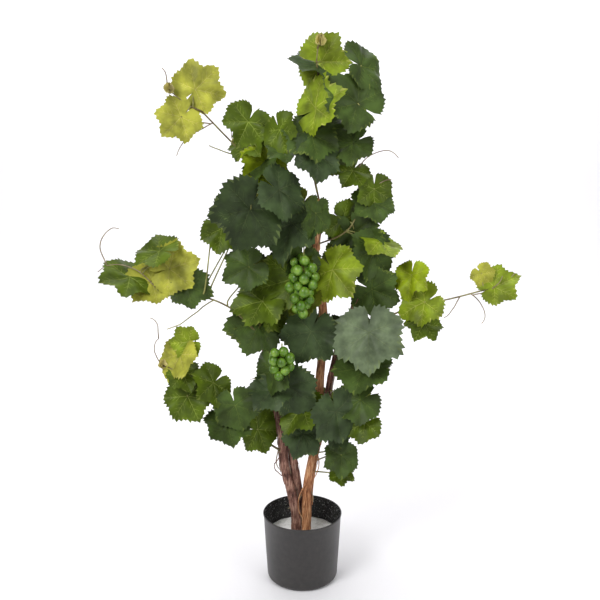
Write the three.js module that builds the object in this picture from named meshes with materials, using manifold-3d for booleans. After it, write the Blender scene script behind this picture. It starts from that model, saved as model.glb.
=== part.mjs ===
// Artificial grapevine in a round plastic pot.
// Millimetres, +Z up, front towards -Y. The origin is the centre of the pot's flat underside.
// Two twisted woody stems and a back stem rise from a cement plug and carry thin wired arms;
// the arms carry flat, uneven masses of leaves.

import * as THREE from 'three';
import { mergeVertices } from 'three/addons/utils/BufferGeometryUtils.js';
import Module from 'manifold-3d';

// pot and plug
const POT_HEIGHT = 118;
const POT_RIM_RADIUS = 67.5;
const POT_BASE_RADIUS = 60.5;
const POT_WALL = 2.4;
const POT_FLOOR = 3;
const POT_FOOT_ROUNDING = 8;
const POT_LIP = 1.2; // how far the rim's band stands out from the wall
const POT_BAND_HEIGHT = 6;
const POT_BAND_SLOPE = 1.5; // height over which the wall steps out to the band
const POT_RIM_ROUNDING = 1;
const PLUG_DEPTH_BELOW_RIM = 40;
const PLUG_TOP = POT_HEIGHT - PLUG_DEPTH_BELOW_RIM;

// clearance kept between pieces that are cut round each other
const GAP = 0.3;

// how fast a stem's flare fades above its foot, and the depths of a pad's hollows and bulges
const FLARE_HEIGHT = 22;
const BULGE_DEPTHS = [0.08, 0.07, 0.05];

// mesh fineness
const ROUND_SIDES = 32;
const LIMB_SIDES = 8;
const ARM_SIDES = 5;
const MM_PER_LIMB_STEP = 34;
const SMALL_PAD = 40; // a pad no longer than this either way is built with fewer faces
const PAD_FULLNESS = 1.07; // flat faces cut corners off a ball, so each pad is built a little full

// finishes
const FINISH = {
  pot: { color: 0x2b2b2c, roughness: 0.45, metalness: 0 },
  plug: { color: 0xc9cac8, roughness: 0.9, metalness: 0 },
  redBark: { color: 0x6b4136, roughness: 0.85, metalness: 0 },
  brownBark: { color: 0x94603d, roughness: 0.8, metalness: 0 },
  shoot: { color: 0x7d7350, roughness: 0.6, metalness: 0 },
  oldLeaf: { color: 0x35502f, roughness: 0.6, metalness: 0 },
  midLeaf: { color: 0x587327, roughness: 0.65, metalness: 0 },
  youngLeaf: { color: 0x93a631, roughness: 0.7, metalness: 0 },
};

// Woody stems. Each path runs from just inside the plug, where it is cut off flat, or from its
// fork, to its end; radii are [foot, end].
const STEM_FOOT = PLUG_TOP - 8;
const STEMS = {
  left_stem: {
    finish: FINISH.redBark,
    radii: [7.2, 5.6],
    flare: 0.16,
    path: [[-10, -3, STEM_FOOT], [-10, -3, 96], [-17, -2, 150], [-30, 0, 200], [-33, -1, 247],
      [-42, -2, 312], [-53, -3, 372], [-60, -5, 412], [-67, -8, 436]],
  },
  left_strand: {
    finish: FINISH.redBark,
    radii: [7.4, 4.6],
    flare: 0.1,
    path: [[-2, 13, STEM_FOOT], [-2, 13, 92], [-6, 10, 140], [-12, 6, 180], [-14, 4, 204],
      [-19, 6, 232], [-28, 6, 262], [-38, 0, 292]],
  },
  right_stem: {
    finish: FINISH.brownBark,
    radii: [7.4, 5.4],
    flare: 0.12,
    path: [[6.5, -4, STEM_FOOT], [6.5, -4, 96], [9, -2, 158], [16, 0, 209], [26, 2, 249],
      [28, 3, 300], [29, 4, 355], [34, 4, 432], [33, 4, 480], [25, 4, 525], [19, 3, 565],
      [23, 2, 596], [31, 1, 637], [32, 0, 662]],
  },
  back_stem: {
    finish: FINISH.redBark,
    radii: [6.4, 4.6],
    flare: 0,
    path: [[26, 4, 262], [38, 10, 305], [50, 12, 366], [62, 12, 420], [78, 10, 462], [92, 8, 492]],
  },
};

// Wired arms, each starting inside the stem that it leaves, where it is cut, and ending just inside
// its last mass of leaves.
const ARMS = {
  top_leader: {
    radii: [3.2, 2.2],
    path: [[31, 2, 640], [23, 9, 668], [16, 6, 704], [13, 4, 750], [22, -2, 786], [32, -8, 814]],
  },
  right_upper_arm: {
    radii: [2.6, 1.8],
    path: [[19, 2, 582], [40, -8, 590], [66, -6, 599], [84, 4, 620], [91, 8, 652]],
  },
  upper_left_arm: {
    radii: [3.2, 1.9],
    path: [[25, 4, 606], [-16, 18, 640], [-65, 21, 684], [-99, 20, 730], [-127, 20, 757],
      [-158, 19, 790]],
  },
  left_arm: {
    radii: [3.2, 2],
    path: [[-62, -6, 424], [-84, -20, 452], [-108, -22, 477], [-130, -21, 491], [-158, -19, 500]],
  },
  right_arm: {
    radii: [3, 1.8],
    path: [[60, 12, 412], [96, 4, 438], [128, 2, 455], [166, 2, 475], [224, 5, 487], [262, 7, 496],
      [296, 9, 505]],
  },
  lower_left_arm: {
    radii: [2.8, 1.8],
    path: [[-31, -1, 226], [-52, -14, 246], [-84, -28, 274], [-122, -33, 318], [-150, -33, 340],
      [-184, -31, 370]],
  },
  back_upper_arm: {
    radii: [3, 2],
    path: [[33, 5, 486], [26, 48, 520], [6, 92, 566], [-10, 118, 600]],
  },
  back_right_arm: {
    radii: [2.8, 1.9],
    path: [[56, 12, 394], [74, 54, 428], [88, 92, 472], [92, 112, 506]],
  },
  back_left_arm: {
    radii: [2.8, 1.9],
    path: [[-53, -2, 372], [-60, 38, 404], [-68, 74, 444], [-70, 92, 472]],
  },
  back_lower_arm: {
    radii: [2.8, 1.9],
    path: [[26, 3, 240], [36, 34, 256], [50, 66, 270], [60, 84, 284]],
  },
};

// Masses of leaves. Each pad is [x, y, z, half width, half depth, half height, lean in degrees],
// and the pads of one mass run into each other.
const MASSES = {
  top_foliage: {
    finish: FINISH.youngLeaf,
    pads: [[20, -4, 863, 34, 14, 19, 14], [86, -4, 854, 38, 16, 30, -20],
      [56, -26, 801, 60, 24, 40, -6], [42, -8, 840, 20, 13, 34, 0], [42, 0, 882, 10, 8, 21, 0]],
  },
  upper_crown_foliage: {
    finish: FINISH.oldLeaf,
    pads: [[-14, -24, 748, 39, 18, 38, 0], [24, -22, 720, 32, 32, 44, 8],
      [68, -2, 742, 37, 22, 31, -10], [20, 20, 754, 34, 22, 32, 0]],
  },
  upper_left_tip_foliage: {
    finish: FINISH.youngLeaf,
    pads: [[-163, 20, 838, 33, 13, 24, 10], [-182, 14, 766, 40, 15, 42, 0],
      [-172, 18, 806, 18, 10, 26, 0], [-214, 20, 808, 28, 8, 14, 20]],
  },
  upper_left_foliage: {
    finish: FINISH.midLeaf,
    pads: [[-86, 22, 772, 41, 20, 22, 0], [-60, 12, 707, 29, 17, 40, -20], [-82, 17, 740, 30, 15, 24, 0]],
  },
  left_crown_foliage: {
    finish: FINISH.oldLeaf,
    pads: [[-118, -20, 631, 37, 17, 62, 0], [-30, -56, 632, 62, 24, 61, 0],
      [-28, -20, 680, 29, 26, 28, 0], [4, -18, 622, 28, 26, 34, 0], [-88, -34, 648, 26, 16, 34, 0]],
  },
  left_centre_foliage: {
    finish: FINISH.midLeaf,
    pads: [[-92, -10, 545, 20, 13, 54, 0], [-56, -24, 530, 46, 24, 40, 0], [-78, 2, 466, 54, 20, 50, 12],
      [-2, -44, 524, 30, 22, 58, 0]],
  },
  left_arm_foliage: {
    finish: FINISH.youngLeaf,
    pads: [[-210, -22, 562, 44, 13, 33, 0], [-270, -20, 527, 46, 11, 22, 24],
      [-188, -17, 514, 54, 15, 28, 0], [-146, -16, 526, 17, 12, 34, 0]],
  },
  right_upper_foliage: {
    finish: FINISH.midLeaf,
    pads: [[80, 8, 698, 29, 9, 11, -8], [122, 8, 674, 37, 13, 18, -20], [124, 8, 643, 35, 12, 18, -12],
      [93, 8, 670, 15, 10, 34, 0]],
  },
  right_crown_foliage: {
    finish: FINISH.midLeaf,
    pads: [[70, 13, 614, 36, 15, 29, 0], [110, 9, 582, 36, 18, 34, 0], [50, -40, 546, 41, 19, 41, 0],
      [122, 5, 514, 37, 19, 43, 0], [78, -12, 552, 32, 24, 34, 0]],
  },
  right_arm_foliage: {
    finish: FINISH.youngLeaf,
    pads: [[180, 0, 517, 48, 13, 27, 6], [194, -4, 470, 33, 13, 33, 0], [236, 2, 520, 32, 8, 9, -12]],
  },
  right_tip_foliage: {
    finish: FINISH.youngLeaf,
    pads: [[292, 10, 532, 28, 9, 15, -20], [312, 10, 512, 22, 10, 32, 15], [338, 10, 512, 22, 8, 17, 0]],
  },
  right_centre_foliage: {
    finish: FINISH.oldLeaf,
    pads: [[6, -62, 437, 38, 17, 42, 0], [98, -58, 430, 65, 21, 61, 0], [44, -30, 440, 30, 34, 34, 0]],
  },
  centre_foliage: {
    finish: FINISH.oldLeaf,
    pads: [[-40, -54, 348, 37, 20, 54, 0], [0, -38, 338, 24, 16, 40, 0], [-34, -26, 394, 24, 24, 36, 0]],
  },
  right_lower_foliage: {
    finish: FINISH.oldLeaf,
    pads: [[64, -44, 320, 53, 18, 46, 0], [36, -20, 316, 25, 24, 30, 0], [94, -20, 272, 20, 14, 34, -35]],
  },
  low_hanging_foliage: {
    finish: FINISH.midLeaf,
    pads: [[63, -12, 226, 23, 11, 44, -10], [44, -8, 256, 26, 12, 17, 0]],
  },
  low_front_foliage: {
    finish: FINISH.oldLeaf,
    pads: [[-1, -28, 265, 28, 12, 33, 0], [13, -14, 276, 16, 14, 20, 0]],
  },
  lower_left_foliage: {
    finish: FINISH.midLeaf,
    pads: [[-170, -36, 346, 47, 16, 50, 24], [-112, -42, 314, 47, 18, 42, 0],
      [-66, -24, 276, 36, 15, 27, -20]],
  },
  lower_left_tip_foliage: {
    finish: FINISH.youngLeaf,
    pads: [[-190, -30, 414, 25, 11, 44, 8], [-206, -30, 386, 28, 10, 18, 0],
      [-228, -30, 402, 20, 8, 14, 0]],
  },
  back_upper_foliage: {
    finish: FINISH.midLeaf,
    pads: [[-28, 132, 622, 66, 32, 52, 0], [-2, 108, 596, 42, 28, 42, 0]],
  },
  back_right_foliage: {
    finish: FINISH.oldLeaf,
    pads: [[92, 120, 540, 52, 30, 46, 0], [78, 98, 504, 34, 24, 30, 0]],
  },
  back_left_foliage: {
    finish: FINISH.oldLeaf,
    pads: [[-72, 100, 498, 48, 30, 50, 0], [-56, 76, 468, 32, 22, 34, 0]],
  },
  back_centre_foliage: {
    finish: FINISH.oldLeaf,
    pads: [[28, 92, 432, 50, 30, 40, 0], [58, 70, 418, 32, 28, 30, 0]],
  },
  back_lower_foliage: {
    finish: FINISH.midLeaf,
    pads: [[62, 100, 284, 50, 28, 38, 0], [24, 86, 276, 38, 24, 28, 0]],
  },
};

const wasm = await Module();
wasm.setup();

function toSolid(geometry) {
  const bare = geometry.clone();
  bare.deleteAttribute('normal');
  bare.deleteAttribute('uv');
  const merged = mergeVertices(bare, 1e-4);
  return new wasm.Manifold(new wasm.Mesh({
    numProp: 3,
    vertProperties: merged.attributes.position.array,
    triVerts: merged.index.array,
  }));
}

function toGeometry(solid) {
  const mesh = solid.getMesh();
  const geometry = new THREE.BufferGeometry();
  geometry.setAttribute('position', new THREE.BufferAttribute(mesh.vertProperties, 3));
  geometry.setIndex(new THREE.BufferAttribute(mesh.triVerts, 1));
  geometry.computeVertexNormals();
  return geometry;
}

// The largest connected piece, so that a cut never leaves a loose sliver.
function mainPiece(solid) {
  const pieces = solid.decompose();
  return pieces.reduce((best, piece) => (piece.volume() > best.volume() ? piece : best));
}

// Points of a quarter round from one angle to another, for a lathe profile.
function arc(x, y, radius, from, to, count = 3) {
  const points = [];
  for (let i = 0; i <= count; i += 1) {
    const angle = THREE.MathUtils.degToRad(from + ((to - from) * i) / count);
    points.push(new THREE.Vector2(x + radius * Math.cos(angle), y + radius * Math.sin(angle)));
  }
  return points;
}

// Outer radius of the pot's wall at a height above its underside.
function wallRadius(height) {
  return THREE.MathUtils.lerp(POT_BASE_RADIUS, POT_RIM_RADIUS - POT_LIP, height / POT_HEIGHT);
}

function turned(profile) {
  const geometry = new THREE.LatheGeometry(profile, ROUND_SIDES);
  geometry.rotateX(Math.PI / 2);
  return geometry;
}

function potGeometry() {
  const bandBottom = POT_HEIGHT - POT_BAND_HEIGHT;
  const rounding = POT_FOOT_ROUNDING;
  const rimRounding = POT_RIM_ROUNDING;
  const innerRounding = rounding - POT_WALL;
  const floorRadius = wallRadius(POT_FLOOR) - POT_WALL;
  const profile = [
    new THREE.Vector2(0, 0),
    ...arc(POT_BASE_RADIUS - rounding, rounding, rounding, -90, 0),
    new THREE.Vector2(wallRadius(bandBottom), bandBottom),
    new THREE.Vector2(POT_RIM_RADIUS, bandBottom + POT_BAND_SLOPE),
    ...arc(POT_RIM_RADIUS - rimRounding, POT_HEIGHT - rimRounding, rimRounding, 0, 90, 2),
    new THREE.Vector2(wallRadius(POT_HEIGHT) - POT_WALL, POT_HEIGHT),
    ...arc(floorRadius - innerRounding, POT_FLOOR + innerRounding, innerRounding, 0, -90),
    new THREE.Vector2(0, POT_FLOOR),
  ];
  return turned(profile);
}

function plugGeometry() {
  const rounding = POT_FOOT_ROUNDING - POT_WALL;
  const footRadius = wallRadius(POT_FLOOR) - POT_WALL - GAP;
  const topRadius = wallRadius(PLUG_TOP) - POT_WALL - GAP;
  const profile = [
    new THREE.Vector2(0, POT_FLOOR),
    ...arc(footRadius - rounding, POT_FLOOR + rounding, rounding, -90, 0),
    new THREE.Vector2(topRadius, PLUG_TOP),
    new THREE.Vector2(0, PLUG_TOP),
  ];
  return turned(profile);
}

// A tapering round limb bent along a smooth curve, with flat ends square to the curve.
// `grow` makes a slightly fatter and longer copy, used to cut clearance into its neighbours.
function limbSolid({ path, radii, flare = 0, sides = ARM_SIDES }, grow = 0) {
  const curve = new THREE.CatmullRomCurve3(path.map((p) => new THREE.Vector3(...p)));
  const length = curve.getLength();
  const steps = Math.max(5, Math.round(length / MM_PER_LIMB_STEP));
  const frames = curve.computeFrenetFrames(steps);
  const geometry = new THREE.CylinderGeometry(1, 1, 1, sides, steps);
  const position = geometry.attributes.position;
  for (let i = 0; i < position.count; i += 1) {
    const t = position.getY(i) + 0.5;
    const ring = Math.round(t * steps);
    const spread = flare * Math.exp((-t * length) / FLARE_HEIGHT);
    const radius = THREE.MathUtils.lerp(radii[0], radii[1], t) * (1 + spread) + grow;
    const overrun = (ring === 0 ? -grow : 0) + (ring === steps ? grow : 0);
    const point = curve.getPointAt(ring / steps)
      .addScaledVector(frames.normals[ring], position.getX(i) * radius)
      .addScaledVector(frames.binormals[ring], -position.getZ(i) * radius)
      .addScaledVector(frames.tangents[ring], overrun);
    position.setXYZ(i, point.x, point.y, point.z);
  }
  return toSolid(geometry);
}

// One uneven pad of leaves: a flattened ball with soft hollows and bulges of its own.
function padSolid([x, y, z, halfWidth, halfDepth, halfHeight, lean], grow = 0) {
  const small = Math.max(halfWidth, halfHeight) <= SMALL_PAD;
  const geometry = small
    ? new THREE.OctahedronGeometry(PAD_FULLNESS, 1)
    : new THREE.IcosahedronGeometry(PAD_FULLNESS, 1);
  const position = geometry.attributes.position;
  const point = new THREE.Vector3();
  const [sideways, upright, crossed] = BULGE_DEPTHS;
  for (let i = 0; i < position.count; i += 1) {
    point.fromBufferAttribute(position, i);
    const bulge = sideways * Math.sin(3.1 * point.x + 0.11 * x + 0.05 * z)
      + upright * Math.sin(3.7 * point.z + 0.13 * z)
      + crossed * Math.cos(5.3 * point.x * point.z + 0.2 * y);
    const scale = 1 + bulge;
    position.setXYZ(i, point.x * (scale * halfWidth + grow), point.y * (scale * halfDepth + grow),
      point.z * (scale * halfHeight + grow));
  }
  geometry.rotateY(THREE.MathUtils.degToRad(lean));
  geometry.translate(x, y, z);
  return toSolid(geometry);
}

function massSolid(pads, grow = 0) {
  return pads.map((pad) => padSolid(pad, grow)).reduce((whole, pad) => whole.add(pad));
}

const grapevine = new THREE.Group();

function addPiece(name, geometry, finish) {
  const mesh = new THREE.Mesh(geometry, new THREE.MeshStandardMaterial(finish));
  mesh.name = name;
  grapevine.add(mesh);
}

addPiece('pot', potGeometry(), FINISH.pot);
addPiece('cement_plug', plugGeometry(), FINISH.plug);

// a block wider than all the stems' feet, whose top is the plug's top
const blockHeight = PLUG_TOP - POT_FLOOR;
const blockGeometry = new THREE.BoxGeometry(POT_BASE_RADIUS, POT_BASE_RADIUS, blockHeight);
const plugBlock = toSolid(blockGeometry.translate(0, 0, PLUG_TOP - blockHeight / 2));

// Stems first, then arms, then masses of leaves. Each piece is cut clear of all that was made
// before it, by a slightly fatter copy of each earlier piece.
let occupied = plugBlock;

function addCut(name, solid, fatSolid, finish) {
  addPiece(name, toGeometry(mainPiece(solid.subtract(occupied))), finish);
  occupied = occupied.add(fatSolid);
}

for (const [name, stem] of Object.entries(STEMS)) {
  const limb = { ...stem, sides: LIMB_SIDES };
  addCut(name, limbSolid(limb), limbSolid(limb, GAP), stem.finish);
}

for (const [name, arm] of Object.entries(ARMS)) {
  addCut(name, limbSolid(arm), limbSolid(arm, GAP), FINISH.shoot);
}

for (const [name, mass] of Object.entries(MASSES)) {
  addCut(name, massSolid(mass.pads), massSolid(mass.pads, GAP), mass.finish);
}

export default grapevine;
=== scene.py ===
import math
import random

import bmesh
import bpy
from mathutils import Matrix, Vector, noise
from mathutils.bvhtree import BVHTree


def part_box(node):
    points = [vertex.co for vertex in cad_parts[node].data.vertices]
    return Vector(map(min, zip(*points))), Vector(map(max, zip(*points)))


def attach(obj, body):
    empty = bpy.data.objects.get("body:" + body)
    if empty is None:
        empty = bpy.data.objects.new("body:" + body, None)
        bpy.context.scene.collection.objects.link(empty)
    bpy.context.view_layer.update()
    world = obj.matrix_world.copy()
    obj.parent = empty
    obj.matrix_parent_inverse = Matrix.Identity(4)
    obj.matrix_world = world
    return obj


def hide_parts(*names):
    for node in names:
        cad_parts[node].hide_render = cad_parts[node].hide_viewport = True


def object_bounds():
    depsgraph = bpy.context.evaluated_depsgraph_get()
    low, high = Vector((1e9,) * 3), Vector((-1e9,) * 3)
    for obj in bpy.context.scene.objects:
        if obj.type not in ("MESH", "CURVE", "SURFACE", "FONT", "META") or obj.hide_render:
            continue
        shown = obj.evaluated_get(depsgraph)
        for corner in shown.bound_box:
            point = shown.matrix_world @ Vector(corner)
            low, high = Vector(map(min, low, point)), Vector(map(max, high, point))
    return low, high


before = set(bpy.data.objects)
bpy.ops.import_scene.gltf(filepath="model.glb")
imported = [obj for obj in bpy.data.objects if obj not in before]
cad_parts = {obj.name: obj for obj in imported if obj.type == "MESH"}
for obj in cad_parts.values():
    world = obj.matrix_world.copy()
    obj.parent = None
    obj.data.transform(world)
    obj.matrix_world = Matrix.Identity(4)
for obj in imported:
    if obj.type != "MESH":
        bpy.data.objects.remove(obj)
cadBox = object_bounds()
mm = 0.001

# The camera comes first, because inner leaves grow only where it sees an outer leaf in front of them.
camera = {
    "place": (-4, -1320, 776),  # mm
    "tiltDown": 12.2,           # degrees below level
    "lens": 49.8,
    "sensor": 36,
}
eye = Vector(camera["place"]) * mm


def addCamera():
    data = bpy.data.cameras.new("camera")
    data.lens = camera["lens"]
    data.sensor_width = camera["sensor"]
    data.dof.use_dof = False
    ob = bpy.data.objects.new("camera", data)
    ob.location = eye
    ob.rotation_euler = (math.radians(90 - camera["tiltDown"]), 0, 0)
    bpy.context.scene.collection.objects.link(ob)
    bpy.context.scene.camera = ob


def linear(hexColour):  # sRGB hex to the linear numbers that nodes take
    channels = [int(hexColour[i:i + 2], 16) / 255 for i in (1, 3, 5)]
    return [c / 12.92 if c <= 0.04045 else ((c + 0.055) / 1.055) ** 2.4 for c in channels] + [1]


# An input is a number or another node's output, and the stops of a colour ramp are (position, hex).
def addNode(material, kind, inputs, stops=(), **settings):
    node = material.node_tree.nodes.new(kind)
    for key, value in settings.items():
        setattr(node, key, value)
    for key, value in inputs.items():
        if isinstance(value, bpy.types.NodeSocket):
            material.node_tree.links.new(value, node.inputs[key])
        else:
            node.inputs[key].default_value = value
    for _ in stops[2:]:  # a ramp starts with two
        node.color_ramp.elements.new(0.5)
    for k, (position, colour) in enumerate(stops):
        node.color_ramp.elements[k].position = position
        node.color_ramp.elements[k].color = linear(colour)
    return node


def newMaterial(name, shader):
    material = bpy.data.materials.new(name)
    material.use_nodes = True
    bsdf = material.node_tree.nodes["Principled BSDF"]
    for key, value in shader.items():
        bsdf.inputs[key].default_value = value
    return material, bsdf


def plug(material, bsdf, key, socket):
    material.node_tree.links.new(socket, bsdf.inputs[key])


def mottled(name, shader, size, detail, rough, stops, relief=None):  # one noise gives colour and relief
    material, bsdf = newMaterial(name, shader)
    where = addNode(material, "ShaderNodeTexCoord", {}).outputs["Object"]
    spots = addNode(material, "ShaderNodeTexNoise",
                    {"Vector": where, "Scale": 1 / (size * mm), "Detail": detail, "Roughness": rough})
    colours = addNode(material, "ShaderNodeValToRGB", {"Fac": spots.outputs["Fac"]}, stops)
    plug(material, bsdf, "Base Color", colours.outputs["Color"])
    if relief:
        strength, depth = relief
        bump = addNode(material, "ShaderNodeBump",
                       {"Height": spots.outputs["Fac"], "Strength": strength, "Distance": depth * mm})
        plug(material, bsdf, "Normal", bump.outputs["Normal"])
    return material


# Printed polyester satin, heat-pressed: soft patches over a fine cloth, with a low wide sheen. The patches,
# lighter and darker at random, are partly dye and partly painted sheen and painted shade, standing in for the
# broad light and dark zones across the blades.
# The thread is 0.3 mm, too fine to show, so the cloth's grain is drawn at 1.5 mm.
cloth = {"patch": 30 * mm, "grain": 1.5 * mm, "thread": 0.3 * mm, "rough": 0.45, "underRough": 0.7,
         "ribRough": 0.6, "shine": 0.17, "darkest": 0.8, "lightest": 1.2}

# face, underside and rib of each dye
tints = {
    "dark": ("#2e3a20", "#4d5a33", "#414d2d"),
    "blue": ("#3b4a2c", "#566339", "#4d5a38"),
    # painted sheen: a lighter, greyer green that stands in for the broad sheen of light on old leaves
    "paintedSheen": ("#5e6b50", "#66734e", "#6c7956"),
    "deep": ("#3e4f22", "#5c6a2f", "#53632c"),
    "mid": ("#4a5b12", "#6c7732", "#7c8a3c"),
    "olive": ("#676f22", "#81863f", "#8b9048"),
    "bright": ("#7f9016", "#8f993a", "#99a336"),
    "lime": ("#75861f", "#9aa048", "#a2aa4a"),
    "pale": ("#999a3a", "#a8a750", "#b3ae5c"),
    "bud": ("#bdb36c", "#b8ad70", "#a89a5c"),
}


def shade(hexColour, factor):
    channels = [min(255, round(int(hexColour[i:i + 2], 16) * factor)) for i in (1, 3, 5)]
    return "#{:02x}{:02x}{:02x}".format(*channels)


def clothMaterial(name, colour, rough):
    material, bsdf = newMaterial(name, {"Roughness": rough, "IOR": 1.46,
                                        "Specular IOR Level": cloth["shine"]})
    where = addNode(material, "ShaderNodeTexCoord", {}).outputs["Object"]
    patches = addNode(material, "ShaderNodeTexNoise",
                      {"Vector": where, "Scale": 1 / cloth["patch"], "Detail": 3.0, "Roughness": 0.6})
    # lighter and darker patches: partly dye, partly painted sheen and painted shade
    colours = addNode(material, "ShaderNodeValToRGB", {"Fac": patches.outputs["Fac"]},
                      [(0.34, shade(colour, cloth["darkest"])), (0.5, colour),
                       (0.66, shade(colour, cloth["lightest"]))])
    plug(material, bsdf, "Base Color", colours.outputs["Color"])
    grain = addNode(material, "ShaderNodeTexNoise",
                    {"Vector": where, "Scale": 1 / cloth["grain"], "Detail": 2.0})
    bump = addNode(material, "ShaderNodeBump",
                   {"Height": grain.outputs["Fac"], "Strength": 0.25, "Distance": cloth["thread"]})
    plug(material, bsdf, "Normal", bump.outputs["Normal"])
    return material


leafMaterials = []
tintIndex = {}
for tint, (face, under, ribColour) in tints.items():
    tintIndex[tint] = len(leafMaterials)
    leafMaterials.append(clothMaterial(tint + "Satin", face, cloth["rough"]))
    leafMaterials.append(clothMaterial(tint + "SatinBack", under, cloth["underRough"]))
    leafMaterials.append(clothMaterial(tint + "Rib", ribColour, cloth["ribRough"]))


# Peeled vine wood, dried: stringy grey-brown ridges over dark red crevices, quite dull. The colour follows
# the same grain as the relief, so it is partly the wood's own tone and partly painted highlight on the ridges
# and painted shade in the crevices.
wood = {"fibre": 1.7 * mm, "stretch": 0.07, "blotch": 22 * mm, "blotchShare": 0.3, "depth": 1.0 * mm}


def barkMaterial(name, dark, middle, light, rough):
    material, bsdf = newMaterial(name, {"Roughness": rough, "IOR": 1.5})
    where = addNode(material, "ShaderNodeTexCoord", {}).outputs["Object"]
    along = addNode(material, "ShaderNodeMapping", {"Vector": where, "Scale": (1, 1, wood["stretch"])})
    fibre = addNode(material, "ShaderNodeTexNoise",
                    {"Vector": along.outputs["Vector"], "Scale": 1 / wood["fibre"], "Detail": 5.0,
                     "Roughness": 0.7})
    blotch = addNode(material, "ShaderNodeTexNoise",
                     {"Vector": where, "Scale": 1 / wood["blotch"], "Detail": 3.0})
    part = addNode(material, "ShaderNodeMath", {0: blotch.outputs["Fac"], 1: wood["blotchShare"]},
                   operation="MULTIPLY")
    mixed = addNode(material, "ShaderNodeMath",
                    {0: fibre.outputs["Fac"], 1: 1 - wood["blotchShare"], 2: part.outputs[0]},
                    operation="MULTIPLY_ADD")
    # dark where the relief is low, light where it is high: partly painted shade and painted highlight
    colours = addNode(material, "ShaderNodeValToRGB", {"Fac": mixed.outputs[0]},
                      [(0.4, dark), (0.5, middle), (0.6, light)])
    plug(material, bsdf, "Base Color", colours.outputs["Color"])
    bump = addNode(material, "ShaderNodeBump",
                   {"Height": fibre.outputs["Fac"], "Strength": 0.8, "Distance": wood["depth"]})
    plug(material, bsdf, "Normal", bump.outputs["Normal"])
    return material


redBark = barkMaterial("driedVineRed", "#351c15", "#7b5144", "#b58f7c", 0.8)
brownBark = barkMaterial("driedVineOrange", "#66381e", "#b67a50", "#deb084", 0.72)
# pale grey-brown for every third loose fibre: a painted highlight, lighter than the bark as if light caught
# it
greyHighlightFibre = barkMaterial("paleFibreHighlight", "#5c463c", "#8f7768", "#b5a294", 0.85)
sawnEnd = barkMaterial("sawnVineEnd", "#8a6a50", "#b8977a", "#d0b496", 0.85)


# Polythene-covered wire, moulded: even tan-green shoots with a slight waxy gloss.
def shootMaterial(name, dark, light):
    return mottled(name, {"Roughness": 0.5, "IOR": 1.5}, 12, 4.0, 0.5, [(0.38, dark), (0.62, light)])


shootTan = shootMaterial("wiredShootTan", "#54421f", "#85804a")
petioleGreen = shootMaterial("wiredStalkGreen", "#6c6a30", "#9c9a58")
tendrilGrey = shootMaterial("tendrilPlastic", "#6e5c44", "#998a6c")
stalkMaterials = [shootTan, petioleGreen, tendrilGrey]
shootIndex, petioleIndex, tendrilIndex = range(3)
print("materials ready")

scene = bpy.context.scene


def meshOf(bm, name):
    mesh = bpy.data.meshes.new(name)
    bm.to_mesh(mesh)
    bm.free()
    return mesh


def cadCopy(node):  # the node's triangles with their corners merged
    bm = bmesh.new()
    bm.from_mesh(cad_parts[node].data)
    bmesh.ops.remove_doubles(bm, verts=bm.verts[:], dist=0.01 * mm)
    return bm


def addPiece(name, mesh, materials, replaced=()):  # a finished mesh becomes a piece of the plant
    mesh.name = name
    for material in materials:
        mesh.materials.append(material)
    for face in mesh.polygons:
        face.use_smooth = True
    piece = bpy.data.objects.new(name, mesh)
    scene.collection.objects.link(piece)
    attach(piece, "root")
    if replaced:
        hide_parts(*replaced)
    return piece


def smoothLine(points, spacing):  # evenly curved line through the points, in steps of about the spacing
    points = [Vector(p) for p in points]
    ends = [points[0] * 2 - points[1]] + points + [points[-1] * 2 - points[-2]]
    line = []
    for i in range(1, len(ends) - 2):
        a, b, c, d = ends[i - 1:i + 3]
        steps = max(1, round((c - b).length / spacing))
        for k in range(steps):
            t = k / steps
            line.append(0.5 * (2 * b + (c - a) * t + (2 * a - 5 * b + 4 * c - d) * t * t
                               + (3 * b - a - 3 * c + d) * t ** 3))
    return line + [points[-1]]


def strandMesh(strands, resolution=0):  # strands (points, radii at the ends, material index) as closed tubes
    curve = bpy.data.curves.new("strands", "CURVE")
    curve.dimensions = "3D"
    curve.bevel_depth = 1
    curve.bevel_resolution = resolution
    curve.use_fill_caps = True
    for _ in range(1 + max(index for _, _, index in strands)):
        curve.materials.append(None)
    for points, radii, index in strands:
        spline = curve.splines.new("POLY")
        spline.points.add(len(points) - 1)
        spline.material_index = index
        spline.use_smooth = True
        for k, p in enumerate(points):
            spline.points[k].co = (*p, 1)
            spline.points[k].radius = radii[0] + (radii[1] - radii[0]) * k / (len(points) - 1)
    ob = bpy.data.objects.new("strands", curve)
    scene.collection.objects.link(ob)
    mesh = bpy.data.meshes.new_from_object(ob.evaluated_get(bpy.context.evaluated_depsgraph_get()))
    bpy.data.objects.remove(ob)
    bpy.data.curves.remove(curve)
    bm = bmesh.new()
    bm.from_mesh(mesh)
    mesh.materials.clear()  # the indices stay in bm
    bmesh.ops.remove_doubles(bm, verts=bm.verts[:], dist=0.01 * mm)
    bmesh.ops.recalc_face_normals(bm, faces=bm.faces[:])
    bm.to_mesh(mesh)
    bm.free()
    return mesh


def addStrands(bm, strands):
    mesh = strandMesh(strands)
    bm.from_mesh(mesh)
    bpy.data.meshes.remove(mesh)


def turnedFrames(line):  # side, other side and ahead at each point of a line, carried along without twist
    side = (line[1] - line[0]).orthogonal().normalized()
    frames = []
    for k in range(len(line)):
        ahead = (line[min(k + 1, len(line) - 1)] - line[max(k - 1, 0)]).normalized()
        side = (side - ahead * side.dot(ahead)).normalized()
        frames.append((side, ahead.cross(side), ahead))
    return frames


limbKind = {
    "left_stem": "stem", "left_strand": "stem", "right_stem": "stem", "back_stem": "stem",
    "top_leader": "arm", "right_upper_arm": "arm", "upper_left_arm": "arm", "left_arm": "arm",
    "right_arm": "arm", "lower_left_arm": "arm", "back_upper_arm": "arm", "back_right_arm": "arm",
    "back_left_arm": "arm", "back_lower_arm": "arm",
}

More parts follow.
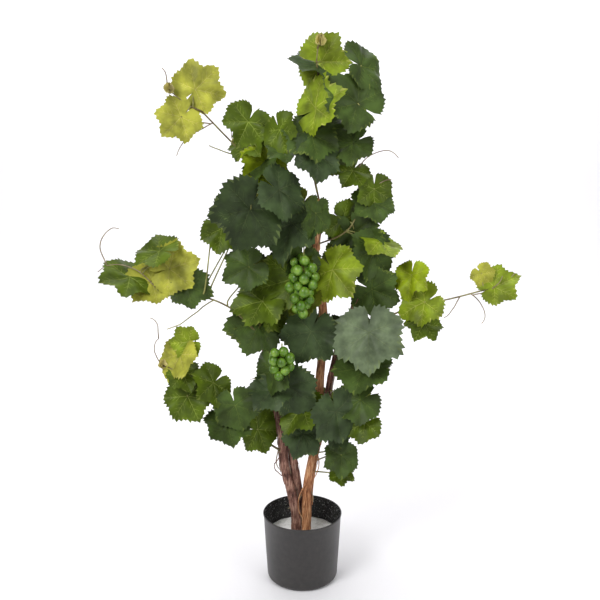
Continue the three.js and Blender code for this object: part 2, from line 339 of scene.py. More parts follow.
# How many cuts across a limb show where it runs, and the share of its length that is left at each end.
cut = {"stem": 14, "arm": 7, "inset": 0.02, "extend": 3 * mm}
lineStep = 3 * mm  # spacing of the points along a limb


def limbLine(node, cuts):  # from foot to tip: the middle and half width of each cut across the solid
    low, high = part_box(node)
    axis = max(range(3), key=lambda k: high[k] - low[k])
    across = Vector([1 if k == axis else 0 for k in range(3)])
    bm = cadCopy(node)
    middles, widths = [], []
    for k in range(cuts):
        at = low[axis] + (high[axis] - low[axis]) * (cut["inset"] + (1 - 2 * cut["inset"]) * k / (cuts - 1))
        found = bmesh.ops.bisect_plane(bm, geom=bm.verts[:] + bm.edges[:] + bm.faces[:], dist=0.001 * mm,
                                       plane_co=across * at, plane_no=across)["geom_cut"]
        ring = [v.co for v in found if isinstance(v, bmesh.types.BMVert)]
        least = Vector([min(p[i] for p in ring) for i in range(3)])
        most = Vector([max(p[i] for p in ring) for i in range(3)])
        middles.append((least + most) / 2)
        span = most - least
        widths.append(min(span[i] for i in range(3) if i != axis) / 2)
    bm.free()
    if middles[0].length > middles[-1].length:  # the foot is the end nearer the pot
        middles.reverse()
        widths.reverse()
    first, last = middles[0] - middles[1], middles[-1] - middles[-2]
    middles[0] = middles[0] + first.normalized() * cut["extend"]
    middles[-1] = middles[-1] + last.normalized() * cut["extend"]
    return middles, widths


limbs = {}
limbPoints = []
for node, kind in limbKind.items():
    middles, widths = limbLine(node, cut[kind])
    limbs[node] = (smoothLine(middles, lineStep), widths)
    limbPoints += limbs[node][0][::2]  # every second point is close enough for stalks to start from


# Ridged wood: the surface swells and sinks along the grain, which winds slowly round the limb. Ridge and fine
# are shares of the radius, and twist is in radians from foot to tip.
bark = {
    "stem": {"sides": 56, "ridge": 0.20, "fine": 0.10, "twist": 3.6, "grain": 2.2, "swell": 1.0},
    "arm": {"sides": 14, "ridge": 0.10, "fine": 0.05, "twist": 1.2, "grain": 1.5, "swell": 0.68},
}


def limbRadius(widths, t):
    at = t * (len(widths) - 1)
    k = min(int(at), len(widths) - 2)
    return widths[k] + (widths[k + 1] - widths[k]) * (at - k)


knotLength = 7 * mm


def ridgedLimb(line, widths, style, seed, knots=()):
    frames = turnedFrames(line)
    sides, rings = style["sides"], len(line) - 1
    low, high = min(widths), max(widths)
    widths = [max(w, low + (high - low) * 0.2) for w in widths]  # cuts at the ends can come out too thin
    bm = bmesh.new()
    bmesh.ops.create_grid(bm, x_segments=sides, y_segments=rings, size=1)
    for v in bm.verts:
        turn = (v.co.x + 1) * math.pi
        t = (v.co.y + 1) / 2
        k = round(t * rings)
        wound = turn + t * style["twist"]
        along = t * rings * lineStep
        big = noise.noise(Vector((math.cos(wound) * style["grain"], math.sin(wound) * style["grain"],
                                  along * 18 + seed)))
        fine = noise.noise(Vector((math.cos(wound) * 6, math.sin(wound) * 6, along * 40 + seed * 3)))
        relief = style["ridge"] * big - style["fine"] * abs(fine) * 2
        radius = limbRadius(widths, t) * style["swell"] * (1 + relief)
        for knotAt, knotTurn, knotSize in knots:
            gap = math.cos(turn - math.radians(knotTurn)) - 1
            radius += knotSize * mm * math.exp(gap * 5 - ((t - knotAt) * rings * lineStep / knotLength) ** 2)
        side, other, _ = frames[k]
        v.co = line[k] + (side * math.cos(turn) + other * math.sin(turn)) * radius
    bmesh.ops.remove_doubles(bm, verts=bm.verts[:], dist=0.001 * mm)
    ends = bmesh.ops.holes_fill(bm, edges=[e for e in bm.edges if e.is_boundary], sides=0)["faces"]
    for face in ends:
        face.material_index = 1
        for edge in face.edges:
            edge.smooth = False
    bmesh.ops.recalc_face_normals(bm, faces=bm.faces[:])
    return meshOf(bm, "limb")


# Knots are (share of the way up, degrees round, height in mm). Loops of loose strand are (share of the way up
# where they leave the wood, share where they come back, how far they bow to the right in mm).
stemLooks = {
    "left_stem": {"finish": redBark, "slot": "red_bark", "seed": 3, "fibres": 26, "stout": 1.18,
                  "knots": [(0.27, 200, 3.0), (0.5, 20, 2.0), (0.72, 120, 2.5)],
                  "loops": [(0.4, 0.29, -14)]},
    "left_strand": {"finish": redBark, "slot": "red_bark", "seed": 11, "fibres": 20, "stout": 1.2,
                    "knots": [(0.35, 60, 2.6), (0.6, 250, 2.0)]},
    "right_stem": {"finish": brownBark, "slot": "brown_bark", "seed": 23, "fibres": 34, "stout": 1.1,
                   "knots": [(0.19, 0, 3.4), (0.42, 180, 2.0), (0.66, 80, 2.6), (0.86, 300, 2.6)],
                   "loops": [(0.15, 0.03, -11), (0.25, 0.15, 8)]},
    "back_stem": {"finish": redBark, "slot": "red_bark", "seed": 31, "fibres": 12,
                  "knots": [(0.4, 90, 2.0)]},
}

looseFibre = {
    "reach": (14, 46),           # length in steps along the limb
    "drift": (-0.02, 0.03),      # radians round the limb for each step
    "lift": 0.6 * mm,
    "endLift": 1.4 * mm,
    "thick": (0.4, 1.1),         # radius in mm
    "taper": 0.5,
    "loopSteps": 8,
    "loopOut": (0.5, -0.85),     # where a loop leaves the wood: to its own side and to the front
    "loopRadii": (1.0 * mm, 0.8 * mm),
}

for node, looks in stemLooks.items():
    line, widths = limbs[node]
    widths = [width * looks.get("stout", 1) for width in widths]
    mesh = ridgedLimb(line, widths, bark["stem"], looks["seed"], looks["knots"])
    addPiece("bark_" + node, mesh, [looks["finish"], sawnEnd], [node])
    # loose fibres that lie along the wood and lift a little at their ends
    draw = random.Random(looks["seed"])
    frames = turnedFrames(line)
    strands = []
    for i in range(looks["fibres"]):
        reach = draw.randint(*looseFibre["reach"])
        first = draw.randint(0, max(1, len(line) - reach - 1))
        turn = draw.uniform(0, 2 * math.pi)
        drift = draw.uniform(*looseFibre["drift"])
        last = min(first + reach, len(line) - 1)
        points = []
        for k in range(first, last):
            side, other, _ = frames[k]
            angle = turn + (k - first) * drift
            lift = looseFibre["lift"] if first + 2 < k < last - 3 else looseFibre["endLift"]
            radius = limbRadius(widths, k / (len(line) - 1)) + lift
            points.append(line[k] + (side * math.cos(angle) + other * math.sin(angle)) * radius)
        thick = draw.uniform(*looseFibre["thick"]) * mm
        strands.append((points, (thick, thick * looseFibre["taper"]), i % 3 // 2))  # every third is grey, a painted highlight on the loose fibres
    aside, ahead = looseFibre["loopOut"]
    for leave, rejoin, bow in looks.get("loops", []):
        points = []
        for k in range(looseFibre["loopSteps"] + 1):
            part = k / looseFibre["loopSteps"]
            t = leave + (rejoin - leave) * part
            out = Vector((math.copysign(aside, bow), ahead, 0)) * limbRadius(widths, t)
            bowed = Vector((bow * mm * math.sin(math.pi * part), 0, 0))
            points.append(line[round(t * (len(line) - 1))] + out + bowed)
        strands.append((smoothLine(points, lineStep), looseFibre["loopRadii"], 0))
    addPiece("fibres_" + node, strandMesh(strands, 1), [looks["finish"], greyHighlightFibre])

for node, kind in limbKind.items():
    if kind == "arm":
        line, widths = limbs[node]
        mesh = ridgedLimb(line, widths, bark["arm"], len(line) * 0.37)
        addPiece("wire_" + node, mesh, [shootTan, shootTan], [node])
print("limbs ready")

# Half of the blade's outline, from its tip to the gap for the stalk: five pointed lobes, in (degrees from the
# tip, share of the length). Teeth run all the way round it.
blade = {
    "edge": [(0, 1.0), (8, 0.91), (19, 0.83), (28, 0.70), (42, 0.80), (56, 0.92), (66, 0.82), (84, 0.67),
             (98, 0.74), (112, 0.79), (128, 0.68), (152, 0.61), (174, 0.51), (180, 0.1)],
    "ribs": (0, 56, -56, 112, -112),      # degrees from the tip, one for each lobe
    "round": 0.72,                        # radius of a blade without lobes
    "gap": 174,                           # from here on the edge turns in to the stalk
    "tooth": 0.075,
    "toothVaries": (0.6, 1.2),            # least share of that, and what chance adds
    "toothLean": 0.35,                    # how far a tooth points to the tip, as a share of a spoke
    "rings": [0.84, 0.62, 0.40, 0.20],
    "spokes": ((42, 72), (22, 60), (0, 36)),  # above a length in mm, so many points round the edge
    "thick": 0.3 * mm,
    "pleat": 0.10,                        # how far the blade bulges between its ribs
    "unevenEdge": 0.09,
    "crumple": 0.11,
}

rib = {
    "reach": 0.93,                        # share of its lobe
    "thick": (0.9 * mm, 0.7 * mm, 0.25 * mm),  # radius of the middle rib, of the others, of their ends
    "slimBelow": 55 * mm,                 # blades shorter than this have slimmer ribs
    "first": 0.14,                        # where side veins leave a rib, as shares of it
    "apart": 0.19,
    "splay": 44,                          # degrees between a vein and its rib
    "length": (0.33, 0.045),              # share of the rib, and how much less each further vein has
    "vein": (0.4 * mm, 0.2 * mm),
}


def lobedRadius(degrees, lobing):
    a = abs(degrees)
    for (low, first), (high, last) in zip(blade["edge"], blade["edge"][1:]):
        if a <= high:
            r = first + (last - first) * (a - low) / (high - low)
            break
    return r if a > blade["gap"] else blade["round"] + (r - blade["round"]) * lobing


def leafPattern(spokes):  # a round blade of two faces that share their rim, on a unit circle
    bm = bmesh.new()
    bmesh.ops.create_circle(bm, segments=spokes, radius=1)
    rim = bm.edges[:]
    for side in (1, -1):
        edges, size = rim, 1
        for ring in blade["rings"]:
            made = bmesh.ops.extrude_edge_only(bm, edges=edges)["geom"]
            verts = [g for g in made if isinstance(g, bmesh.types.BMVert)]
            edges = [g for g in made if isinstance(g, bmesh.types.BMEdge)]
            bmesh.ops.scale(bm, verts=verts, vec=(ring / size, ring / size, 1))
            for v in verts:
                v.co.z = side
            size = ring
        middle = bmesh.ops.extrude_edge_only(bm, edges=edges)["geom"]
        verts = [g for g in middle if isinstance(g, bmesh.types.BMVert)]
        bmesh.ops.pointmerge(bm, verts=verts, merge_co=(0, 0, side))
    bmesh.ops.recalc_face_normals(bm, faces=bm.faces[:])
    for edge in rim:
        edge.smooth = False
    for face in bm.faces:
        face.material_index = 0 if face.calc_center_median().z > 0 else 1
    return meshOf(bm, "leafPattern")


patterns = {spokes: leafPattern(spokes) for _, spokes in blade["spokes"]}


def leafShape(draw, fold, lobing):  # the bends of one blade
    return {
        "lobing": lobing * draw.uniform(0.9, 1.1),
        "fold": fold,
        "droop": draw.uniform(0.05, 0.22),
        "sides": draw.uniform(0.02, 0.14),
        "wave": draw.uniform(0.03, 0.08),
        "waves": draw.choice([3, 4, 5]),
        "phase": draw.uniform(0, 6.28),
        "lean": draw.uniform(-4, 4),
        "seed": draw.uniform(0, 100),
    }


def bladeHeight(shape, degrees, r):  # height of the blade above its flat, for a tip length of 1
    a = math.radians(degrees)
    x, y = r * math.sin(a), r * math.cos(a)
    nearest = min(abs(degrees - at) for at in blade["ribs"])
    between = blade["ribs"][1] / 2
    height = blade["pleat"] * r * (1 - math.cos(math.pi * min(nearest, between) / between)) / 2
    height += shape["fold"] * abs(x)
    height -= shape["droop"] * (max(y, 0) ** 2) + shape["sides"] * x * x
    height += shape["wave"] * r * r * math.sin(shape["waves"] * a + shape["phase"])
    height += blade["crumple"] * noise.noise(Vector((x * 1.7, y * 1.7, shape["seed"])))
    return height


def facing(turn, yaw, pitch):  # tip and face directions: turn is the tip's clock angle seen from the front
    yaw, pitch, turn = math.radians(yaw), math.radians(pitch), math.radians(turn)
    face = Vector((math.sin(yaw) * math.cos(pitch), -math.cos(yaw) * math.cos(pitch), math.sin(pitch)))
    up = (Vector((0, 0, 1)) - face * face.z).normalized()
    tip = up * math.cos(turn) + up.cross(face) * math.sin(turn)
    return tip, face


def addLeaf(bm, ribs, place, size, tip, face, tint, shape, veined):  # the blade into bm, its ribs as strands
    across = tip.cross(face)
    spokes = next(count for least, count in blade["spokes"] if size > least * mm)
    step = 360 / spokes
    first = len(bm.verts)
    faceCount = len(bm.faces)
    bm.from_mesh(patterns[spokes])
    bm.verts.ensure_lookup_table()
    bm.faces.ensure_lookup_table()

    def onBlade(degrees, r, lift):
        degreesIn = math.radians(degrees)
        x, y = r * math.sin(degreesIn), r * math.cos(degreesIn)
        return place + (across * x + tip * y + face * bladeHeight(shape, degrees, r)) * size + face * lift

    leastBite, addedBite = blade["toothVaries"]
    for v in bm.verts[first:]:
        part = math.hypot(v.co.x, v.co.y)
        degrees = math.degrees(math.atan2(v.co.x, v.co.y))
        r = lobedRadius(degrees + shape["lean"] * math.sin(math.radians(degrees)), shape["lobing"])
        spoke = round(degrees / step)
        a = math.radians(degrees)
        rough = noise.noise(Vector((math.cos(a) * 1.6, math.sin(a) * 1.6, shape["seed"])))
        r *= 1 + blade["unevenEdge"] * rough
        if spoke % 2 == 0:
            chance = abs(noise.noise(Vector((spoke * 0.7, shape["seed"], 0))))
            bite = blade["tooth"] * (leastBite + addedBite * chance)
            r += bite * (1 if part > 0.99 else 0.1 if part > 0.8 else 0)  # the rim, and the ring inside it
            if part > 0.99 and 4 < abs(degrees) < 176:
                degrees -= math.copysign(blade["toothLean"] * step, degrees)
        side = v.co.z
        v.co = onBlade(degrees, r * part, side * blade["thick"] / 2)
    for f in bm.faces[faceCount:]:
        f.material_index += tintIndex[tint]
    # ribs stand a little proud of both faces
    index = tintIndex[tint] + 2
    middleThick, sideThick, endThick = rib["thick"]
    longest, shorter = rib["length"]
    for at in blade["ribs"]:
        reach = lobedRadius(at, shape["lobing"]) * rib["reach"]
        steps = 7 if abs(at) < 90 else 5
        points = [onBlade(at, reach * k / steps, 0) for k in range(steps + 1)]
        thick = (middleThick if at == 0 else sideThick) * min(1, size / rib["slimBelow"])
        ribs.append((points, (thick, endThick), index))
        if veined:
            for k in range(1, 5 if at == 0 else 4):
                for hand in (1, -1):
                    start = reach * (rib["first"] + rib["apart"] * k)
                    a = math.radians(at)
                    base = Vector((start * math.sin(a), start * math.cos(a)))
                    b = a + hand * math.radians(rib["splay"])
                    vein = []
                    for s in (0, 0.5, 1):
                        p = base + Vector((math.sin(b), math.cos(b))) * s * reach * (longest - shorter * k)
                        vein.append(onBlade(math.degrees(math.atan2(p.x, p.y)), p.length, 0))
                    ribs.append((vein, rib["vein"], index))


# Each mass: outer leaves as a count, their smallest and largest length in mm, and tints dealt in turn; lines
# that leave it as (kind, clock angle seen from the front, length in mm, curl); the size in mm of a bud at the
# end of the first line; and grown leaves, as a count, sizes and tints, which fill it or make the back.
masses = {
    "top_foliage": {
        "slot": "young_leaf",
        "leaves": (5, (40, 62), ["deep", "deep", "lime", "lime", "blue"]),
        "lines": [("shoot", 352, 84, 0.1), ("stalk", 30, 12, 0)],
        "bud": 11,
        "grown": (3, (34, 44), ["deep", "mid"]),
    },
    "upper_crown_foliage": {
        "slot": "old_leaf",
        "leaves": (6, (36, 56), ["deep", "deep", "blue", "mid"]),
        "lines": [("shoot", 350, 50, 0)],
        "grown": (7, (34, 48), ["deep", "blue", "mid"]),
    },
    "upper_left_tip_foliage": {
        "slot": "young_leaf",
        "leaves": (2, (38, 56), ["pale", "pale"]),
        "lines": [("shoot", 288, 62, 0.2), ("tendril", 345, 34, -0.5)],
        "bud": 11,
    },
    "upper_left_foliage": {
        "slot": "mid_leaf",
        "leaves": (4, (38, 54), ["bright", "mid", "mid", "deep"]),
        "lines": [("tendril", 215, 90, -0.7), ("tendril", 245, 80, -0.5), ("tendril", 270, 70, -0.9),
                  ("tendril", 195, 70, 0.6), ("stalk", 280, 60, 0)],
        "grown": (3, (34, 44), ["mid", "olive"]),
    },
    "left_crown_foliage": {
        "slot": "old_leaf",
        "leaves": (5, (42, 74), ["dark", "blue", "blue", "mid", "deep"]),
        "lines": [("tendril", 325, 60, 0.6), ("stalk", 290, 60, 0.2)],
        "grown": (9, (38, 56), ["deep", "mid", "blue"]),
    },
    "left_centre_foliage": {
        "slot": "mid_leaf",
        "leaves": (7, (34, 64), ["deep", "mid", "deep", "mid", "olive"]),
        "lines": [("stalk", 235, 90, 0.3), ("stalk", 330, 60, 0.2), ("tendril", 200, 50, 0.4)],
        "grown": (8, (36, 50), ["deep", "mid"]),
    },
    "left_arm_foliage": {
        "slot": "young_leaf",
        "leaves": (5, (34, 58), ["pale", "pale", "deep", "mid", "mid"]),
        "lines": [("shoot", 296, 74, 0.1), ("tendril", 322, 110, -0.7), ("tendril", 340, 80, 0.9)],
        "grown": (4, (30, 40), ["olive", "mid"]),
    },
    "right_upper_foliage": {
        "slot": "mid_leaf",
        "leaves": (3, (34, 48), ["mid", "deep", "mid"]),
        "lines": [("shoot", 2, 44, 0), ("tendril", 32, 84, 0.8)],
        "grown": (1, (24, 30), ["mid"]),
    },
    "right_crown_foliage": {
        "slot": "mid_leaf",
        "leaves": (6, (40, 58), ["lime", "deep", "deep", "mid", "deep"]),
        "lines": [("tendril", 60, 60, 0.5)],
        "grown": (8, (36, 50), ["deep", "mid"]),
    },
    "right_arm_foliage": {
        "slot": "young_leaf",
        "leaves": (3, (38, 58), ["lime", "bright", "mid"]),
        "lines": [("tendril", 120, 60, 0.6), ("tendril", 70, 60, -0.6)],
        "grown": (1, (28, 34), ["olive"]),
    },
    "right_tip_foliage": {
        "slot": "young_leaf",
        "leaves": (2, (26, 52), ["lime", "pale"]),
        "lines": [("shoot", 78, 44, 0.1), ("tendril", 12, 30, 0.4), ("tendril", 200, 44, 0.5)],
        "bud": 9,
    },
    "right_centre_foliage": {
        "slot": "old_leaf",
        # the first tint is the painted sheen
        "leaves": (3, (44, 74), ["paintedSheen", "blue", "deep"]),
        "lines": [("stalk", 25, 70, 0.2), ("tendril", 75, 50, 0.5)],
        "grown": (8, (38, 52), ["deep", "blue"]),
    },
    "centre_foliage": {
        "slot": "old_leaf",
        "leaves": (4, (40, 64), ["blue", "deep", "mid"]),
        "lines": [("tendril", 300, 50, -0.5)],
        "grown": (6, (36, 48), ["deep", "mid"]),
    },
    "right_lower_foliage": {
        "slot": "old_leaf",
        "leaves": (3, (40, 64), ["blue", "deep", "mid"]),
        "grown": (5, (34, 46), ["deep", "blue"]),
    },
    "low_hanging_foliage": {
        "slot": "mid_leaf",
        "leaves": (3, (28, 46), ["deep", "blue", "mid"]),
        "lines": [("tendril", 200, 60, 0.6), ("tendril", 150, 40, 0.5)],
        "grown": (2, (24, 34), ["mid"]),
    },
    "low_front_foliage": {
        "slot": "old_leaf",
        "leaves": (1, (46, 58), ["blue"]),
        "grown": (2, (28, 36), ["deep"]),
    },
    "lower_left_foliage": {
        "slot": "mid_leaf",
        "leaves": (6, (34, 50), ["mid", "deep", "mid"]),
        "lines": [("shoot", 305, 40, 0), ("tendril", 160, 60, 0.5), ("tendril", 190, 50, -0.5)],
        "grown": (5, (32, 46), ["deep", "mid"]),
    },
    "lower_left_tip_foliage": {
        "slot": "young_leaf",
        "leaves": (2, (32, 54), ["pale", "lime"]),
        "lines": [("shoot", 300, 50, 0.2), ("tendril", 320, 50, 0.7), ("tendril", 350, 40, -0.6)],
        "bud": 10,
    },
    "back_upper_foliage": {"slot": "mid_leaf", "grown": (13, (42, 62), ["mid", "deep", "olive", "bright"])},
    "back_right_foliage": {"slot": "old_leaf", "grown": (11, (42, 60), ["deep", "mid", "blue"])},
    "back_left_foliage": {"slot": "old_leaf", "grown": (11, (42, 60), ["deep", "blue", "mid"])},
    "back_centre_foliage": {"slot": "old_leaf", "grown": (10, (40, 58), ["deep", "blue"])},
    "back_lower_foliage": {"slot": "mid_leaf", "grown": (9, (38, 54), ["mid", "olive", "deep"])},
}


def massTree(node):
    bm = cadCopy(node)
    tree = BVHTree.FromBMesh(bm)
    bm.free()
    return tree


trees = {node: massTree(node) for node in masses}

# Bunches hang inside a mass: top and bottom are points from its middle, width is the largest radius, in mm.
bunches = {
    "grapes_upper": {"node": "left_centre_foliage", "width": 20,
                     "top": (53, -24, 66), "bottom": (50, -22, -24)},
    "grapes_lower": {"node": "centre_foliage", "width": 16,
                     "top": (-6, -26, 64), "bottom": (-7, -26, 22)},
}


def bunchEnds(bunch):
    low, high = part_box(bunch["node"])
    return [(low + high) / 2 + Vector(bunch[end]) * mm for end in ("top", "bottom")]


leafRule = {
    "grid": 7 * mm,              # spacing of the cells that show how much of a mass is still bare
    "half": (0.64, 0.66),        # half length and half width of the oval that stands for a blade of size 1
    "ahead": 0.14,               # how far the middle of that oval lies ahead of the stalk
    "tries": 130,                # places tried for each leaf
    "spill": 2.6,                # cost of a cell of open air that a leaf hides
    "double": 0.45,              # cost of a cell hidden twice
    "turn": {"young_leaf": (40, 320), "mid_leaf": (105, 270), "old_leaf": (120, 240)},  # of the tip
    "yaw": (-46, 46),
    "lean": 0.4,                 # how far a leaf also follows the slope of its mass
    "pitch": (-4, 62),
    "fold": (0, 0.15),
    "sink": (3 * mm, 14 * mm),   # how deep behind the face of its mass a leaf lies
    "behind": 0.5,               # how far a blade of size 1 reaches behind its stalk
    "beside": 0.7,               # and to each side of it
    "proud": 8 * mm,             # how far leaves may stand out at the front
    "over": (0.9, 0.3),          # shares of leaf and bunch width within which they meet
    "clear": 6,                  # room in mm between a bunch and the leaves behind it
}


def frontOf(node):  # cells of a grid where the mass is met from the front: the point met and its normal
    low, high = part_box(node)
    step = leafRule["grid"]
    cells = {}
    for i in range(int((high.x - low.x) / step) + 1):
        for k in range(int((high.z - low.z) / step) + 1):
            start = Vector((low.x + (i + 0.5) * step, low.y - step, low.z + (k + 0.5) * step))
            hit, normal, _, _ = trees[node].ray_cast(start, Vector((0, 1, 0)))
            if hit:
                cells[i, k] = (hit, normal)
    return cells


def cellsUnder(low, place, size, tip, face):  # cells that a blade hides from the front
    side = tip.cross(face)
    step = leafRule["grid"]
    area = tip.x * side.z - tip.z * side.x
    halfLong, halfWide = leafRule["half"]
    x0, z0 = place.x - low.x, place.z - low.z
    under = set()
    for i in range(int((x0 - size) / step) - 1, int((x0 + size) / step) + 1):
        for k in range(int((z0 - size) / step) - 1, int((z0 + size) / step) + 1):
            x, z = (i + 0.5) * step - x0, (k + 0.5) * step - z0
            along = (x * side.z - z * side.x) / area / size
            across = (z * tip.x - x * tip.z) / area / size
            if ((along - leafRule["ahead"]) / halfLong) ** 2 + (across / halfWide) ** 2 < 1:
                under.add((i, k))
    return under


def layLeaves(node):  # each leaf takes, of the places tried, the one where it hides most of the bare mass
    draw = random.Random(node + " outer")
    low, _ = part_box(node)
    cells = frontOf(node)
    keys = sorted(cells)
    bare = set(keys)
    count, (small, large), dyes = masses[node]["leaves"]
    turns = leafRule["turn"][masses[node]["slot"]]
    sizeShare, widthShare = leafRule["over"]
    laid = []
    for n in range(count):
        best = None
        for _ in range(leafRule["tries"]):
            hit, normal = cells[draw.choice(keys)]
            size = draw.uniform(small, large) * mm
            lean = math.degrees(math.atan2(normal.x, -normal.y)) * leafRule["lean"]
            tip, face = facing(draw.uniform(*turns), lean + draw.uniform(*leafRule["yaw"]),
                               draw.uniform(*leafRule["pitch"]))
            under = cellsUnder(low, hit, size, tip, face)
            held = under & cells.keys()
            score = (len(held & bare) - leafRule["spill"] * (len(under) - len(held))
                     - leafRule["double"] * len(held - bare))
            if best is None or score > best[0]:
                best = (score, hit, size, tip, face, under)
        _, hit, size, tip, face, under = best
        bare -= under
        forward = max(-tip.y, tip.y * leafRule["behind"]) + abs(tip.cross(face).y) * leafRule["beside"]
        place = hit.copy()
        place.y = max(hit.y + draw.uniform(*leafRule["sink"]),
                      cadBox[0].y - leafRule["proud"] + size * forward)
        for bunch in bunches.values():
            for hub in bunchEnds(bunch):
                near = size * sizeShare + bunch["width"] * widthShare * mm
                if math.hypot(hub.x - place.x, hub.z - place.z) < near:
                    place.y = max(place.y, hub.y + (bunch["width"] + leafRule["clear"]) * mm)
        laid.append((place, size, tip, face, dyes[n % len(dyes)], draw.uniform(*leafRule["fold"]), True))
    return laid


outer = {node: layLeaves(node) if "leaves" in mass else [] for node, mass in masses.items()}
shown = [leaf[:4] for laid in outer.values() for leaf in laid]  # place, length, tip and face of each

# Shares of a leaf's length: within core it hides what is behind it, save near its stalk, and beyond edge it
# hides nothing. A point within edge has to be further behind the leaf than gap.
cover = {"core": 0.72, "stalk": -0.4, "edge": 0.95, "gap": 4 * mm}


def screened(point):  # seen from the camera, does the point lie behind an outer leaf, and in front of none
    behind = False
    ray = point - eye
    for place, size, tip, face in shown:
        reach = (place - eye).dot(face) / ray.dot(face)
        hit = (eye + ray * reach - place) / size
        gap = (1 - reach) * ray.length
        if hit.length < cover["edge"] and gap < cover["gap"]:
            return False
        behind = behind or (hit.length < cover["core"] and hit.dot(tip) > cover["stalk"])
    return behind


def inside(tree, point):
    near, normal, _, _ = tree.find_nearest(point)
    return (point - near).dot(normal) < 0


growth = {
    "shoot": (1.5, 0.9, shootIndex),     # radii at the two ends in mm, and which plastic
    "stalk": (1.2, 0.9, petioleIndex),
    "tendril": (1.05, 0.7, tendrilIndex),
    "bends": 8,                          # steps in which a shoot or tendril turns
    "curl": 0.6,                         # radians that curl 1 turns it at its last step
    "wander": 0.16,                      # radians it may stray at each step
    "sway": (-0.3, 0.2),                 # share of a step that it may go to the front or the back
    "reach": 14 * mm,                    # how far outside its mass it may start
    "spacing": 4 * mm,                   # of its points
    "joint": (1.9 * mm, 1.615 * mm),     # radii at the ends of a joint along a shoot
    "jointHalf": 1.5 * mm,               # half their length
    "jointEvery": 6,                     # points between them
    "lobing": {"young_leaf": 0.85, "mid_leaf": 0.8, "old_leaf": 0.7},
    "least": 16 * mm,                    # shortest stalk of a leaf
    "below": 0.5,                        # cost of a stalk that starts above its leaf
    "inFront": 2,                        # cost of one that starts in front of it
    "stalkBase": 1.1,                    # how much thicker a stalk starts
    "behind": 10 * mm,                   # how far leaves may stand out at the back
    "back": 55 * mm,                     # how far behind its mass an inner leaf may lie
    "depth": (0.35, 0.6),                # where grown leaves start in their mass, and over what share of it
    "around": 60 * mm,                   # how far away the point lies that grown leaves turn their faces from
    "turn": (120, 240),
    "yaw": (-35, 35),
    "pitch": (-5, 45),
    "fold": (0, 0.2),
    "spoke": 28,                         # degrees between the points of a blade that have to be hidden
    "rims": (0.8, 0.45),                 # how far out those points lie
    "shrink": 0.4,                       # how much smaller a leaf gets by the last try
    "tries": 240,                        # places tried for each leaf
}


def nearestLimb(point, face, carriers):  # where a stalk starts: near its leaf, below it and behind it
    far = [p for p in carriers if (p - point).length > growth["least"]]

    def cost(p):
        above, inFront = max(0, p.z - point.z), max(0, (p - point).dot(face))
        return (p - point).length + above * growth["below"] + inFront * growth["inFront"]

    return min(far, key=cost)


# shares of the stalk's length, unless noted
stalkBend = {
    "stray": 0.1,          # how far its middle strays to any side
    "rise": 0.12,          # and how far it rises
    "lead": 0.38,          # how far from its start to that middle the lower bend is
    "along": 0.7,          # the last stretch runs along the blade
    "under": 0.5,          # and comes up from behind it, in this proportion
    "last": 0.28,
    "spacing": 5 * mm,
}


def petiole(start, end, tip, face, draw):  # a curved stalk that meets its blade from behind
    reach = (end - start).length
    stray, lead = stalkBend["stray"], stalkBend["lead"]
    aside = Vector((draw.uniform(-stray, stray), draw.uniform(-stray, stray), stalkBend["rise"]))
    middle = (start + end) / 2 + aside * reach
    back = end - (tip * stalkBend["along"] + face * stalkBend["under"]) * reach * stalkBend["last"]
    return smoothLine([start, start * (1 - lead) + middle * lead, back, end], stalkBend["spacing"])


def strand(carriers, low, high, clock, length, curl, draw):  # starts where the limbs reach furthest its way
    heading = math.radians(clock)
    way = Vector((math.sin(heading), 0, math.cos(heading)))
    room = growth["reach"]
    near = [p for p in carriers if all(low[k] - room < p[k] < high[k] + room for k in range(3))]
    if near:
        point = max(near, key=lambda p: p.dot(way))
    else:
        point = min(carriers, key=lambda p: (p - (low + high) / 2).length)
    route = [point]
    for k in range(1, growth["bends"] + 1):
        turned = curl * growth["curl"] * (k / growth["bends"]) ** 2
        heading += turned + draw.uniform(-growth["wander"], growth["wander"])
        step = Vector((math.sin(heading), draw.uniform(*growth["sway"]), math.cos(heading)))
        route.append(route[-1] + step * length / growth["bends"])
    return smoothLine(route, growth["spacing"])


# turn and yaw of each small leaf of a bud
budLeaf = {"ways": ((350, 70), (10, -60), (30, 20), (330, 150)), "stray": 10, "fold": 0.5}


def bud(place, size, draw):  # a furled tuft: small leaves folded round the tip of a shoot
    leaves = []
    for turn, yaw in budLeaf["ways"]:
        tip, face = facing(turn, yaw + draw.uniform(-budLeaf["stray"], budLeaf["stray"]), 0)
        leaves.append((place, size * mm, tip, face, "bud", budLeaf["fold"], False))
    return leaves


